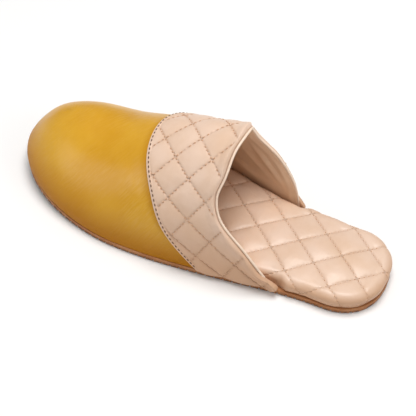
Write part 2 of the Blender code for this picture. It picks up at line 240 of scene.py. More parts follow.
def station_x(station):
    """A station is x, save that it runs on round the toe and the heel."""
    station = np.asarray(station, dtype=float)
    toe = np.clip((station - TOE_X) / TOE_TURN, 0.0, math.pi / 2.0)
    heel = np.clip((HEEL_X - station) / HEEL_TURN, 0.0, math.pi / 2.0)
    return np.clip(station, HEEL_X, TOE_X) + TOE_TURN * np.sin(toe) - HEEL_TURN * np.sin(heel)


def edge_frame(station, side):
    """A point on the sole's outline, and the direction inwards from it."""

    def on_edge(spot):
        x = station_x(spot)
        half, middle = half_widths(x)
        return x, middle - CENTRE + side * half

    nudge = 1e-5
    station = np.asarray(station, dtype=float)
    before = on_edge(np.maximum(station - nudge, HEEL_STATION))
    after = on_edge(np.minimum(station + nudge, TOE_STATION))
    run_x = after[0] - before[0]
    run_y = after[1] - before[1]
    at_end = np.minimum(station - HEEL_STATION, TOE_STATION - station) < 2.0 * nudge
    run_y = np.where(at_end, side * np.where(station > 0.0, -1.0, 1.0), run_y)
    run_x = np.where(at_end, 0.0, run_x)
    run = np.hypot(run_x, run_y)
    x, y = on_edge(station)
    return x, y, side * run_y / run, -side * run_x / run


def edge_point(station, side, inset):
    """A point of the sole's outline, moved in by inset. side is 1 or -1."""
    x, y, inward_x, inward_y = edge_frame(station, side)
    return x + inward_x * inset, y + inward_y * inset


print("y moved by, mm:", round(CENTRE * 1000.0, 2))


# %% Surface of the last
def spring(x):
    """Height of the sole's underside over the floor: it rises at the toe."""
    start = LENGTH / 2.0 - SPRING_LENGTH
    return TOE_SPRING * np.clip((x - start) / SPRING_LENGTH, 0.0, 1.0) ** 2


def sole_top(x):
    """Height of the outsole's upper face."""
    return SOLE_THICKNESS + spring(x)


def side_exponent(station):
    """How square the last's side is: fuller at the instep than at the toe."""
    forward = smooth_step((station_x(station) - SIDE_CHANGE_START) / SIDE_CHANGE_LENGTH)
    return INSTEP_SIDE_EXPONENT + (TOE_SIDE_EXPONENT - INSTEP_SIDE_EXPONENT) * forward


def crest_x(station):
    """Where a section's top lies: round the toe it is set back from its foot."""
    toe_share = (np.asarray(station, dtype=float) - TOE_X) / (TOE_STATION - TOE_X)
    return station_x(station) - TOE_SETBACK * smooth_step(toe_share)


def crest_height(x):
    """Height of the crest over the floor."""
    rise = curve_through(CRESTS, place_of(x))
    return sole_top(x) + CLEARANCE + TOE_HEIGHT + (INSTEP_HEIGHT - TOE_HEIGHT) * rise


def swell(station, turn):
    """How far the last swells out low on its side, at the toe."""
    top = math.atan(SWELL_POWER**-0.5)
    peak = math.sin(top) * math.cos(top) ** SWELL_POWER
    forward = smooth_step((station_x(station) - SWELL_START) / SWELL_LENGTH)
    return TOE_SWELL * forward * np.sin(turn) * np.cos(turn) ** SWELL_POWER / peak


def last_point(station, girth, inside=0.0):
    """Points of the last's surface, or of one that lies inside it by inside."""
    station, girth = np.broadcast_arrays(
        np.asarray(station, dtype=float), np.clip(np.asarray(girth, dtype=float), -1.0, 1.0)
    )
    turn = (1.0 - np.abs(girth)) * math.pi / 2.0
    side = np.where(girth > 0.0, 1.0, -1.0)
    foot_x, foot_y = edge_point(station, side, SOLE_EDGE + inside - swell(station, turn))
    inward = 1.0 - np.cos(turn) ** (2.0 / CREST_EXPONENT)
    upward = np.sin(turn) ** (2.0 / side_exponent(station))
    top_x = crest_x(station) - inside * smooth_step((station - TOE_X) / TOE_TURN)
    x = foot_x + (top_x - foot_x) * inward
    y = foot_y + (-CREST_LEAN - foot_y) * inward
    low = sole_top(foot_x) + CLEARANCE
    return np.stack([x, y, low + (crest_height(x) - inside - low) * upward], axis=-1)


def last_normal(station, girth):
    """The direction straight out of the last's surface."""
    step = 2e-4
    turn = 4e-3
    along = last_point(station + step, girth) - last_point(station - step, girth)
    around = last_point(station, np.clip(girth + turn, -1.0, 1.0))
    around = around - last_point(station, np.clip(girth - turn, -1.0, 1.0))
    normal = np.cross(along, around)
    size = np.linalg.norm(normal, axis=-1, keepdims=True)
    return normal / np.maximum(size, 1e-12)


def arc_from_crest(station, girth):
    """Length along the surface from the crest, positive on the outer side."""
    shares = np.linspace(0.0, 1.0, 25)
    points = last_point(station[..., None], girth[..., None] * shares)
    steps = np.linalg.norm(np.diff(points, axis=-2), axis=-1)
    return np.sign(girth) * steps.sum(axis=-1)


crest_top = last_point(THROAT_PLACE, 0.0)
print("throat height in mm:", round(float(crest_top[2]) * 1000.0, 1))

# %% [markdown]
# ## The edges of the upper
#
# The band ends at the collar behind and at a curved seam in front. Both are read from
# short tables, as a share of the way from the crest to the foot. Where the collar
# comes down to the sole, the maker rounds the corner of the leather off, so that it
# doesn't catch, and that rounding is added here. What lies near an edge is placed by
# its real distance from it, so a table turns distances into stations at each girth.

# %% Read the edges
FOOT_ROUND = 0.0020
FOOT_ROUND_HEIGHT = 0.0040
EDGE_READINGS = 321


def rounded_foot(girth):
    """How far forward the collar's corner is cut, just over the sole."""
    height = (1.0 - np.abs(girth)) * GIRTH_LENGTH
    share = np.clip(1.0 - height / FOOT_ROUND_HEIGHT, 0.0, 1.0)
    return FOOT_ROUND * (1.0 - np.sqrt(1.0 - np.minimum(share, 0.995) ** 2))


def collar_station(girth):
    """Where the upper ends at the collar, at each girth."""
    back = curve_through(both_sides(COLLAR_EDGE), girth)
    place = THROAT_PLACE + (COLLAR_FOOT_PLACE - THROAT_PLACE) * back
    return place + rounded_foot(girth)


def seam_station(girth):
    """Where the band ends at the curved front seam, at each girth."""
    back = curve_through(both_sides(SEAM_EDGE), girth)
    return SEAM_CREST_PLACE + (SEAM_FOOT_PLACE - SEAM_CREST_PLACE) * back


def square_scale(edge_station):
    """Metres across an edge for each metre of station, at a row of girths."""
    step = 2e-4
    girths = np.linspace(-1.0, 1.0, EDGE_READINGS)
    stations = edge_station(girths)
    edge = np.gradient(last_point(stations, girths), axis=0)
    edge = edge / np.linalg.norm(edge, axis=-1, keepdims=True)
    along = last_point(stations + step, girths) - last_point(stations - step, girths)
    along = along / (2.0 * step)
    across = along - edge * np.sum(along * edge, axis=-1, keepdims=True)
    return girths, np.linalg.norm(across, axis=-1)


GIRTH_LENGTH = float(arc_from_crest(np.array([-0.050]), np.array([1.0]))[0])
COLLAR_SCALE = square_scale(collar_station)
SEAM_SCALE = square_scale(seam_station)


def from_collar(station, girth):
    """Distance along the surface from the collar's edge."""
    return (station - collar_station(girth)) * np.interp(girth, *COLLAR_SCALE)


def from_seam(station, girth):
    """Distance along the surface back from the front seam."""
    return (seam_station(girth) - station) * np.interp(girth, *SEAM_SCALE)


print("half girth at the collar in mm:", round(GIRTH_LENGTH * 1000.0, 1))

# %% [markdown]
# ## Laying a grid over a surface
#
# Most pieces here are sheets of leather bent over the last. The editor's way would be
# to start from a plane and pull it into place. The same is done in code: a flat grid
# is made by one operator, and a function says where each of its corners goes. The
# function also gives pattern coordinates, which the finish reads as a UV map, and
# named values, such as how deep a groove is, which it reads as attributes.


# %% A helper that lays a grid
def lay_grid(name, columns, rows, place):
    """A grid laid by place(u, v), which gives points, pattern pairs and values."""
    builder = bmesh.new()
    bmesh.ops.create_grid(builder, x_segments=columns, y_segments=rows, size=0.5)
    builder.verts.index_update()
    shares = np.array([vertex.co[:2] for vertex in builder.verts]) + 0.5
    points, pattern, values = place(shares[:, 0], shares[:, 1])
    layers = {key: builder.verts.layers.float.new(key) for key in values}
    for number, vertex in enumerate(builder.verts):
        vertex.co = points[number]
        for key, layer in layers.items():
            vertex[layer] = values[key][number]
    pattern_map = builder.loops.layers.uv.new("pattern")
    for face in builder.faces:
        for corner in face.loops:
            corner[pattern_map].uv = pattern[corner.vert.index]
    bmesh.ops.remove_doubles(builder, verts=builder.verts, dist=1e-6)
    return builder


def to_object(name, builder, material, body="root"):
    """Turns a builder into a smooth piece that rides on the slipper's body."""
    mesh = bpy.data.meshes.new(name)
    builder.to_mesh(mesh)
    builder.free()
    mesh.shade_smooth()
    piece = bpy.data.objects.new(name, mesh)
    bpy.context.scene.collection.objects.link(piece)
    mesh.materials.append(material)
    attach(piece, body)
    print(name, "has", len(mesh.polygons), "faces")
    return piece


def point_outwards(builder):
    """Turns all faces of a closed shell outwards."""
    bmesh.ops.recalc_face_normals(builder, faces=builder.faces)


# %% [markdown]
# ## Shaders as arithmetic
#
# A finish in the editor is a net of nodes. In code, wiring each node by hand hides
# what is being worked out, so one small class wraps an output, and plain arithmetic
# on it adds the Math nodes. Every other kind of node comes from one method, which
# takes the node's type, its settings and what its sockets hold or are linked to.


# %% The wire and the finish
class Wire:
    """An output of a shader node. Arithmetic on it adds Math nodes."""

    def __init__(self, socket):
        self.socket = socket

    def maths(self, operation, *values):
        """A Math node on these values, in this wire's tree."""
        tree = self.socket.id_data
        node = tree.nodes.new("ShaderNodeMath")
        node.operation = operation
        for entry, value in zip(node.inputs, values):
            if isinstance(value, Wire):
                tree.links.new(value.socket, entry)
            else:
                entry.default_value = value
        return Wire(node.outputs[0])

    def __add__(self, other):
        return self.maths("ADD", self, other)

    def __sub__(self, other):
        return self.maths("SUBTRACT", self, other)

    def __rsub__(self, other):
        return self.maths("SUBTRACT", other, self)

    def __mul__(self, other):
        return self.maths("MULTIPLY", self, other)

    def __pow__(self, other):
        return self.maths("POWER", self, other)

    __radd__ = __add__
    __rmul__ = __mul__

    def from_whole(self):
        """Distance from the nearest whole number."""
        return self.maths("PINGPONG", self, 0.5)

    def cosine(self, turns):
        """1 at each whole number of turns of this value, and -1 half way."""
        return self.maths("COSINE", self * (turns * 2.0 * math.pi))

    def exponential(self):
        """e to the power of this value."""
        return self.maths("EXPONENT", self)


class Finish:
    """A material being made, and its Principled shader."""

    def __init__(self, name, roughness, coat=0.0, coat_roughness=0.3):
        self.material = bpy.data.materials.new(name)
        self.material.use_nodes = True
        self.tree = self.material.node_tree
        self.shader = self.tree.nodes["Principled BSDF"]
        self.shader.inputs["Roughness"].default_value = roughness
        self.shader.inputs["Coat Weight"].default_value = coat
        self.shader.inputs["Coat Roughness"].default_value = coat_roughness

    def node(self, kind, settings, entries, output=0):
        """Adds a node and gives one output. entries maps sockets to values or wires."""
        made = self.tree.nodes.new("ShaderNode" + kind)
        for key, value in settings.items():
            setattr(made, key, value)
        for key, value in entries.items():
            if isinstance(value, Wire):
                self.tree.links.new(value.socket, made.inputs[key])
            else:
                made.inputs[key].default_value = value
        return Wire(made.outputs[output])

    def place(self):
        """The place on the piece, in metres."""
        return self.node("TexCoord", {}, {}, "Object")

    def pattern(self):
        """The pattern coordinates of the piece, as two wires."""
        pair = self.node("UVMap", {"uv_map": "pattern"}, {})
        first = self.node("SeparateXYZ", {}, {0: pair}, "X")
        return first, Wire(first.socket.node.outputs["Y"])

    def value(self, name):
        """A named value of the piece."""
        return self.node("Attribute", {"attribute_name": name}, {}, "Fac")

    def noise(self, place, scale, detail=3.0, roughness=0.55):
        """Cloudy noise, from 0 to 1."""
        entries = {"Vector": place, "Scale": scale, "Detail": detail, "Roughness": roughness}
        return self.node("TexNoise", {}, entries, "Fac")

    def stretched(self, place, scale, turn=(0.0, 0.0, 0.0)):
        """The place turned and then stretched by a scale on each axis."""
        turned = self.node("Mapping", {}, {"Vector": place, "Rotation": turn})
        return self.node("Mapping", {}, {"Vector": turned, "Scale": scale})

    def between(self, wire, low, high, start=0.0, end=1.0):
        """A soft step from start to end as the wire goes from low to high."""
        entries = {"Value": wire, "From Min": low, "From Max": high, "To Min": start, "To Max": end}
        return self.node("MapRange", {"interpolation_type": "SMOOTHSTEP"}, entries)

    def mix(self, share, first, second):
        """A colour between two, each a wire or a linear red, green and blue."""

        def rgba(colour):
            return colour if isinstance(colour, Wire) else (*colour, 1.0)

        entries = {0: share, 6: rgba(first), 7: rgba(second)}
        return self.node("Mix", {"data_type": "RGBA"}, entries, 2)

    def join(self, wire, socket):
        """Links a wire to a socket of the shader."""
        self.tree.links.new(wire.socket, self.shader.inputs[socket])

    def bump(self, height, distance, under=None):
        """A bumped normal from a height, on top of one that lies under it."""
        entries = {"Height": height, "Distance": distance, "Strength": 1.0}
        if under is not None:
            entries["Normal"] = under
        return self.node("Bump", {}, entries)


print("shader helpers are ready")

# %% [markdown]
# ## The finishes
#
# The vamp is smooth dyed leather: an even mustard colour that clouds a little, a fine
# scratchy grain and a soft gloss, with painted shade low down and beside the band. The
# quilted leather is beige and softer, with puckers where each stitch pulls it in, painted
# shade in its grooves and on its low sides, and a painted highlight along its turned
# edge at the seam. The lining is plain, the sole is brown rubber with a dusty, speckled
# cast and painted shade low down between the lugs, and the thread is brown. Each has its
# own function.

# %% Leather of the vamp
MUSTARD = (0.605, 0.292, 0.008)
MUSTARD_PALE = (0.685, 0.364, 0.021)
MUSTARD_PAINTED_SHADE = (0.370, 0.120, 0.002)


def vamp_leather():
    """Smooth mustard leather with a fine scratchy grain and painted shade."""
    finish = Finish("vamp_leather", roughness=0.42)
    finish.shader.inputs["Specular IOR Level"].default_value = 0.08
    finish.shader.inputs["Coat Roughness"].default_value = 0.31
    place = finish.place()
    clouds = finish.noise(place, 22.0, detail=4.0)
    grain = finish.noise(place, 1500.0, detail=2.0)
    painted_shade = finish.value("painted_shade")
    laid_flat = finish.node("UVMap", {"uv_map": "pattern"}, {})
    strokes = finish.stretched(laid_flat, (110.0, 800.0, 1.0), turn=(0.0, 0.0, -0.95))
    scratches = finish.between(finish.noise(strokes, 1.0, detail=2.0), 0.40, 0.64)
    pebbles = finish.noise(place, 430.0, detail=3.0)
    worn = finish.between(finish.noise(place, 34.0), 0.38, 0.60)
    colour = finish.mix(finish.between(clouds, 0.3, 0.7), MUSTARD, MUSTARD_PALE)
    colour = finish.mix(scratches * worn * 0.25, colour, MUSTARD_PALE)
    # Painted shade: the colour darkens low down and just in front of the band's seam.
    colour = finish.mix(painted_shade * 0.78, colour, MUSTARD_PAINTED_SHADE)
    finish.join(colour, "Base Color")
    finish.join(0.40 + 0.10 * clouds + 0.06 * grain, "Roughness")
    finish.join((1.0 - painted_shade) * (0.60 + 0.40 * scratches * (0.4 + 0.6 * worn)), "Coat Weight")
    fine = finish.bump(pebbles, 0.00010, under=finish.bump(grain, 0.00004))
    finish.join(finish.bump(scratches * worn, 0.00008, under=fine), "Normal")
    return finish.material


# %% Quilted leather
BEIGE = (0.715, 0.495, 0.352)
BEIGE_PALE = (0.765, 0.560, 0.432)
BEIGE_GROOVE_SHADE = (0.590, 0.350, 0.215)
BEIGE_PAINTED_SHADE = (0.570, 0.325, 0.185)
BEIGE_EDGE_HIGHLIGHT = (0.900, 0.780, 0.680)
STITCHES_PER_CELL = 6


def quilted_leather(name, roughness, coat):
    """Soft beige leather that each stitch of the quilting pulls in."""
    finish = Finish(name, roughness=roughness, coat_roughness=0.20)
    finish.shader.inputs["Specular IOR Level"].default_value = 0.30
    place = finish.place()
    clouds = finish.noise(place, 45.0, detail=4.0)
    wrinkles = finish.noise(place, 150.0, detail=4.0, roughness=0.6)
    grain = finish.noise(place, 1300.0, detail=2.0)
    first, second = finish.pattern()
    quilted = finish.value("quilted")
    pucker = None
    for across, along in ((first, second), (second, first)):
        off = across.from_whole()
        near = (off * off * -900.0).exponential()
        holes = 0.5 + 0.5 * along.cosine(STITCHES_PER_CELL)
        one = near * holes
        pucker = one if pucker is None else pucker + one
    pucker = pucker * quilted
    groove = finish.value("groove") * quilted
    colour = finish.mix(finish.between(clouds, 0.3, 0.7), BEIGE, BEIGE_PALE)
    lit_and_polished = finish.value("lit_and_polished")
    # Painted shade darkens the stitched grooves.
    colour = finish.mix(groove * 0.20, colour, BEIGE_GROOVE_SHADE)
    # Painted shade: the low parts and sides are darker, the tops stay lit; the same share gives the
    # tops their gloss.
    colour = finish.mix((1.0 - lit_and_polished) * 0.85, colour, BEIGE_PAINTED_SHADE)
    # Painted highlight: a pale line along the band's turned edge at the front seam.
    colour = finish.mix(finish.value("turned") * 0.80, colour, BEIGE_EDGE_HIGHLIGHT)
    finish.join(colour, "Base Color")
    finish.join(roughness - 0.04 + 0.10 * clouds, "Roughness")
    finish.join(lit_and_polished * coat, "Coat Weight")
    fine = finish.bump(wrinkles, 0.00045, under=finish.bump(grain, 0.00003))
    finish.join(finish.bump(1.0 - pucker, 0.00040, under=fine), "Normal")
    return finish.material


# %% Lining, thread and rubber
LINING = (0.890, 0.650, 0.455)
LINING_DEEP = (0.790, 0.540, 0.355)
BEAD = (0.870, 0.680, 0.530)
THREAD = (0.510, 0.265, 0.135)
THREAD_DARK = (0.390, 0.185, 0.090)
PALE_THREAD = (0.620, 0.400, 0.270)
RUBBER = (0.395, 0.155, 0.054)
RUBBER_PALE = (0.500, 0.232, 0.098)
RUBBER_PAINTED_SHADE = (0.060, 0.022, 0.010)
LUG_PITCH = 0.0058


def plain_leather(name, colour, deep, roughness):
    """Plain lining leather."""
    finish = Finish(name, roughness=roughness)
    place = finish.place()
    clouds = finish.noise(place, 38.0, detail=4.0)
    grain = finish.noise(place, 1100.0, detail=2.0)
    finish.join(finish.mix(finish.between(clouds, 0.3, 0.7), deep, colour), "Base Color")
    finish.join(finish.bump(grain, 0.00004), "Normal")
    return finish.material


def thread_finish(name, colour, dark):
    """Twisted sewing thread."""
    finish = Finish(name, roughness=0.6)
    place = finish.place()
    finish.join(finish.mix(finish.noise(place, 900.0), colour, dark), "Base Color")
    finish.join(finish.bump(finish.noise(place, 4000.0), 0.00005), "Normal")
    return finish.material


def sole_rubber():
    """Brown rubber, a little dusty and speckled, with painted shade low down between the lugs."""
    finish = Finish("sole_rubber", roughness=0.62)
    finish.shader.inputs["Specular IOR Level"].default_value = 0.30
    place = finish.place()
    forward = finish.node("SeparateXYZ", {}, {0: place}, "X")
    height = Wire(forward.socket.node.outputs["Z"])
    risen = finish.between(forward, LENGTH / 2.0 - SPRING_LENGTH, LENGTH / 2.0, 0.0, TOE_SPRING)
    # Painted shade: darker near the floor, and darkest in the gaps between the lugs.
    painted_low_shade = finish.between(height - risen, 0.0004, 0.0030, 1.0, 0.0)
    between_lugs = finish.between(forward.cosine(1.0 / LUG_PITCH), 0.10, 0.60)
    clouds = finish.noise(place, 60.0, detail=5.0)
    grain = finish.noise(place, 900.0, detail=3.0)
    colour = finish.mix(finish.between(clouds, 0.35, 0.7), RUBBER, RUBBER_PALE)
    colour = finish.mix(finish.between(grain, 0.55, 0.75) * 0.5, colour, RUBBER_PALE)
    colour = finish.mix(painted_low_shade * (0.30 + 0.60 * between_lugs), colour, RUBBER_PAINTED_SHADE)
    finish.join(colour, "Base Color")
    finish.join(0.50 + 0.20 * grain, "Roughness")
    finish.join(finish.bump(grain, 0.00015), "Normal")
    return finish.material


VAMP_FINISH = vamp_leather()
BAND_FINISH = quilted_leather("band_leather", 0.44, 0.06)
FOOTBED_FINISH = quilted_leather("footbed_leather", 0.38, 0.26)
LINING_FINISH = plain_leather("lining_leather", LINING, LINING_DEEP, 0.62)
BEAD_FINISH = plain_leather("edge_leather", BEAD, BEAD, 0.40)
THREAD_FINISH = thread_finish("quilting_thread", THREAD, THREAD_DARK)
PALE_THREAD_FINISH = thread_finish("pale_quilting_thread", PALE_THREAD, THREAD)
RUBBER_FINISH = sole_rubber()
print("finishes:", len(bpy.data.materials))

# %% [markdown]
# ## Creases
#
# Leather that is pulled over a last keeps a few soft folds. Each is put where the
# photograph shows it, as a trough with a low ridge on both sides that fades out at
# its ends. Noise would be quicker, but it would wrinkle the smooth leather all over.

# %% A helper for creases
Crease = namedtuple("Crease", "along across length width depth turn")


def crease_height(creases, along, across):
    """The height that a table of creases adds at places on the surface."""
    height = np.zeros_like(along)
    for crease in creases:
        turn = math.radians(crease.turn)
        reach_x = along - crease.along
        reach_y = across - crease.across
        lengthways = (reach_x * math.cos(turn) + reach_y * math.sin(turn)) / crease.length
        sideways = (reach_y * math.cos(turn) - reach_x * math.sin(turn)) / crease.width
        fade = np.clip(1.0 - (2.0 * lengthways) ** 2, 0.0, 1.0) ** 2
        profile = (1.0 - 1.2 * sideways**2) * np.exp(-(sideways**2))
        height = height - crease.depth * fade * profile
    return height


# %% [markdown]
# ## The vamp
#
# The vamp is one piece of leather, drawn over the toe and tucked under at the sole. It
# starts under the band and closes at the toe. It is a grid over the last; Solidify
# gives it the thickness of the leather, inwards, so that its outside stays in place.

# %% Lay the vamp
VAMP_TUCK = 0.005
PAINTED_SHADE_HEIGHT = 0.034
SEAM_SHADE = 0.007
LEATHER = 0.0010
VAMP_COLUMNS = 170
VAMP_ROWS = 150
VAMP_CREASES = (
    Crease(0.027, 0.042, 0.026, 0.0040, 0.0003, -62.0),
    Crease(0.034, 0.030, 0.036, 0.0060, 0.0003, -48.0),
    Crease(0.022, -0.046, 0.024, 0.0030, 0.0006, 60.0),
)


def vamp_place(u, v):
    """The vamp's outside, from under the band to the toe."""
    girth = 1.0 - 2.0 * u
    start = seam_station(girth) - VAMP_TUCK
    station = start + (TOE_STATION - start) * v
    points = last_point(station, girth)
    across = arc_from_crest(station, girth)
    lift = crease_height(VAMP_CREASES, station, across)
    points = points + last_normal(station, girth) * lift[:, None]
    # Painted shade, darker low down on the vamp and just in front of the band's seam.
    painted_shade = smooth_step(1.0 - (points[:, 2] - sole_top(points[:, 0])) / PAINTED_SHADE_HEIGHT)
    shade = 0.5 * smooth_step(1.0 - (station - seam_station(girth)) / SEAM_SHADE)
    painted_shade = np.maximum(painted_shade, shade)
    return points, np.stack([station, across], axis=-1), {"painted_shade": painted_shade}


builder = lay_grid("vamp", VAMP_COLUMNS, VAMP_ROWS, vamp_place)
point_outwards(builder)
vamp = to_object("vamp", builder, VAMP_FINISH)
wall = vamp.modifiers.new("leather", "SOLIDIFY")
wall.thickness = LEATHER
wall.offset = -1.0
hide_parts("upper")

# %% [markdown]
# ## The lining
#
# Inside the vamp and the band lies a plain lining, which shows in the shade under the
# instep. It is a second grid, a little inside the first. Its folds run down and
# forwards from the throat.

# %% Lay the lining
LINING_DEPTH = 0.0012
LINING_RISE = 0.0012
LINING_EDGE = 0.0050
LINING_HELD = 0.0015
LINING_THICKNESS = 0.0008
LINING_CREASES = (
    Crease(-0.034, -0.058, 0.056, 0.0040, 0.0016, 55.0),
    Crease(-0.025, -0.062, 0.046, 0.0032, 0.0012, 45.0),
    Crease(-0.045, -0.060, 0.040, 0.0036, 0.0009, 66.0),
    Crease(-0.017, -0.074, 0.034, 0.0036, 0.0014, 28.0),
)


def lining_place(u, v):
    """The lining's outside, from the collar to the toe."""
    girth = 1.0 - 2.0 * u
    start = collar_station(girth) + 0.0004
    station = start + (TOE_STATION - start) * v**1.3
    depth = LINING_DEPTH - LINING_RISE * (1.0 - smooth_step((station - start) / LINING_EDGE))
    points = last_point(station, girth, inside=depth)
    across = arc_from_crest(station, girth)
    lift = np.minimum(crease_height(LINING_CREASES, station, across), 0.0)
    lift = lift * smooth_step((station - start - LINING_HELD) / LINING_EDGE)
    points = points + last_normal(station, girth) * lift[:, None]
    return points, np.stack([station, across], axis=-1), {}


builder = lay_grid("lining", 120, 130, lining_place)
point_outwards(builder)
lining = to_object("lining", builder, LINING_FINISH)
wall = lining.modifiers.new("leather", "SOLIDIFY")
wall.thickness = LINING_THICKNESS
wall.offset = -1.0
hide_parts("upper")

# %% [markdown]
# ## Quilting
#
# The band and the footbed are made of leather sewn to foam along two sets of crossing
# lines. Seen flat, the lines make a lattice of near squares. A point's place in the
# lattice is a pair of numbers that are whole on the lines, so the padding between the
# lines is a simple curve of the two. Cloth simulation could swell the pads, but the
# formula keeps each line exactly where the photograph shows it.

# %% The lattice and the pads
Quilt = namedtuple("Quilt", "x y first_x first_y second_x second_y")
PAD_POWER = 0.36
GROOVE_SOFTNESS = 0.040


def lattice(quilt, x, y):
    """A place on the flat leather as steps along the two sides of a diamond."""
    off_x = x - quilt.x
    off_y = y - quilt.y
    area = quilt.first_x * quilt.second_y - quilt.first_y * quilt.second_x
    first = (off_x * quilt.second_y - off_y * quilt.second_x) / area
    second = (off_y * quilt.first_x - off_x * quilt.first_y) / area
    return np.stack([first, second], axis=-1)


def pad_height(pattern):
    """0 on the stitched lines, rising to 1 over the middle of a diamond."""
    height = 1.0
    low = GROOVE_SOFTNESS**PAD_POWER
    for share in (pattern[:, 0], pattern[:, 1]):
        rise = (np.sin(math.pi * share) ** 2 + GROOVE_SOFTNESS**2) ** (PAD_POWER / 2.0)
        height = height * (rise - low) / (1.0 - low)
    return height


def groove_depth(pattern):
    """1 on the stitched lines, and 0 a little way from them."""
    off = np.abs(pattern - np.round(pattern))
    return np.exp(-((np.min(off, axis=-1) / 0.045) ** 2))


# %% [markdown]
# ## The band over the instep
#
# The band is the quilted leather that lies over the back half of the upper. It is
# rolled over at the collar, and at the front its cut edge is turned under and sewn
# down over the vamp. Its face is a height above the last, from the collar to the seam.
# The grid runs over the face and back along the underside, which closes it.

# %% Height of the band's face
BAND_QUILT = Quilt(0.0320, 0.0248, -0.01214, -0.01360, -0.01211, 0.01169)
BAND_SPREAD = 2.08
BAND_TWIST = 1.54
BAND_THICKNESS = 0.0024
BAND_PAD = 0.0012
COLLAR_STEP = 0.0008
ROLL_HEIGHT = 0.0035
ROLL_RADIUS = 0.0017
ROLL_FALL = 0.0050
ROLL_SHARE = 0.0020
FOLD_WIDTH = 0.0024
FOOT_THINNING = 0.95
FOOT_RISE = 0.006
BAND_SHADE = 0.055
EDGE_HIGHLIGHT_WIDTH = 0.0014
LOBE_LENGTH = 0.0052
LOBE_HEIGHT = 0.0026
LOBE_FADE = 0.0085
FOLD_HEIGHT = 0.0015
FOLD_RADIUS = 0.0008
FOLD_RISE = 0.0050
BAND_CREASES = (
    Crease(-0.010, 0.086, 0.030, 0.0011, 0.0005, 118.0),
    Crease(-0.036, 0.052, 0.020, 0.0020, 0.0006, 20.0),
    Crease(-0.034, 0.060, 0.016, 0.0015, 0.0005, 35.0),
)


def band_pattern(station, girth):
    """The band's place on the flat leather, which spreads over the instep."""
    across = arc_from_crest(station, girth)
    x = station + BAND_SPREAD * across**2
    y = across + BAND_TWIST * across * station
    return lattice(BAND_QUILT, x, y), across


def quarter_round(distance, radius):
    """Rises from 0 as a quarter circle and stays at 1."""
    return np.sqrt(np.maximum(1.0 - np.clip(1.0 - distance / radius, 0.0, 1.0) ** 2, 0.0))


def foot_lobe(girth):
    """How far the band's soft corner reaches back past the collar, over the sole."""
    over = (1.0 - np.abs(girth)) * GIRTH_LENGTH - LOBE_HEIGHT
    above = np.cos(np.clip(over / LOBE_FADE, 0.0, 1.0) * math.pi / 2.0) ** 2
    below = np.sqrt(1.0 - 0.8 * np.clip(-over / LOBE_HEIGHT, 0.0, 1.0) ** 2)
    return LOBE_LENGTH * np.where(over > 0.0, above, below)


def band_height(station, girth):
    """Height of the band's face over the last, its pattern and its grooves."""
    back = from_collar(station, girth) - COLLAR_STEP + foot_lobe(girth)
    front = from_seam(station, girth)
    pattern, across = band_pattern(station, girth)
    fall = smooth_step((back - ROLL_RADIUS) / ROLL_FALL)
    height = ROLL_HEIGHT + (BAND_THICKNESS - ROLL_HEIGHT) * fall
    near_seam = smooth_step(front / FOLD_RISE)
    height = FOLD_HEIGHT + (height - FOLD_HEIGHT) * near_seam
    foot = (1.0 - np.abs(girth)) * GIRTH_LENGTH
    low = FOOT_THINNING + (1.0 - FOOT_THINNING) * smooth_step(foot / FOOT_RISE)
    quilted = smooth_step(back / ROLL_SHARE) * smooth_step((front - FOLD_WIDTH) / 0.0012)
    height = height * low - BAND_PAD * (1.0 - pad_height(pattern)) * quilted * low
    height = height + crease_height(BAND_CREASES, station, across) * quilted
    height = height * quarter_round(back, ROLL_RADIUS) * quarter_round(front, FOLD_RADIUS)
    return CLEARANCE + height, pattern, quilted


# %% Lay the band
BAND_COLUMNS = 270
BAND_ROWS = 170
UNDER_SHARE = 0.08
EDGE_CROWDING = 0.92


def band_place(u, v):
    """Round the band's section: over its face and back along its underside."""
    girth = 1.0 - 2.0 * u
    over = v <= 1.0 - UNDER_SHARE
    along = np.where(over, v / (1.0 - UNDER_SHARE), (1.0 - v) / UNDER_SHARE)
    crowded = along - EDGE_CROWDING * np.sin(2.0 * math.pi * along) / (2.0 * math.pi)
    along = np.where(over, crowded, along)
    step_in = COLLAR_STEP - foot_lobe(girth)
    start = collar_station(girth) + step_in / np.interp(girth, *COLLAR_SCALE)
    station = start + (seam_station(girth) - start) * along
    height, pattern, quilted = band_height(station, girth)
    height = np.where(over, height, CLEARANCE)
    points = last_point(station, girth) + last_normal(station, girth) * height[:, None]
    height_up = points[:, 2] - sole_top(points[:, 0])
    values = {
        "quilted": np.where(over, quilted, 0.0),
        "groove": groove_depth(pattern),
        # Small on the band's low parts, which get painted shade.
        "lit_and_polished": smooth_step(height_up / BAND_SHADE),
        # Where the painted highlight lies, along the turned edge at the seam.
        "turned": 1.0 - smooth_step(from_seam(station, girth) / EDGE_HIGHLIGHT_WIDTH),
    }
    return points, pattern, values


builder = lay_grid("instep_band", BAND_COLUMNS, BAND_ROWS, band_place)
open_ends = [edge for edge in builder.edges if edge.is_boundary]
bmesh.ops.holes_fill(builder, edges=open_ends, sides=0)
point_outwards(builder)
band = to_object("quilted_band", builder, BAND_FINISH)
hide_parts("instep_band")

# %% [markdown]
# ## The footbed
#
# The footbed is foam with a quilted cover that is drawn down its sides. The grid runs
# round the foot in one direction and up the side, over the shoulder and in to the
# middle line in the other. The quilting carries on down the side as it does on the
# real cover, so the pattern is read from the leather as if it were rolled out flat.

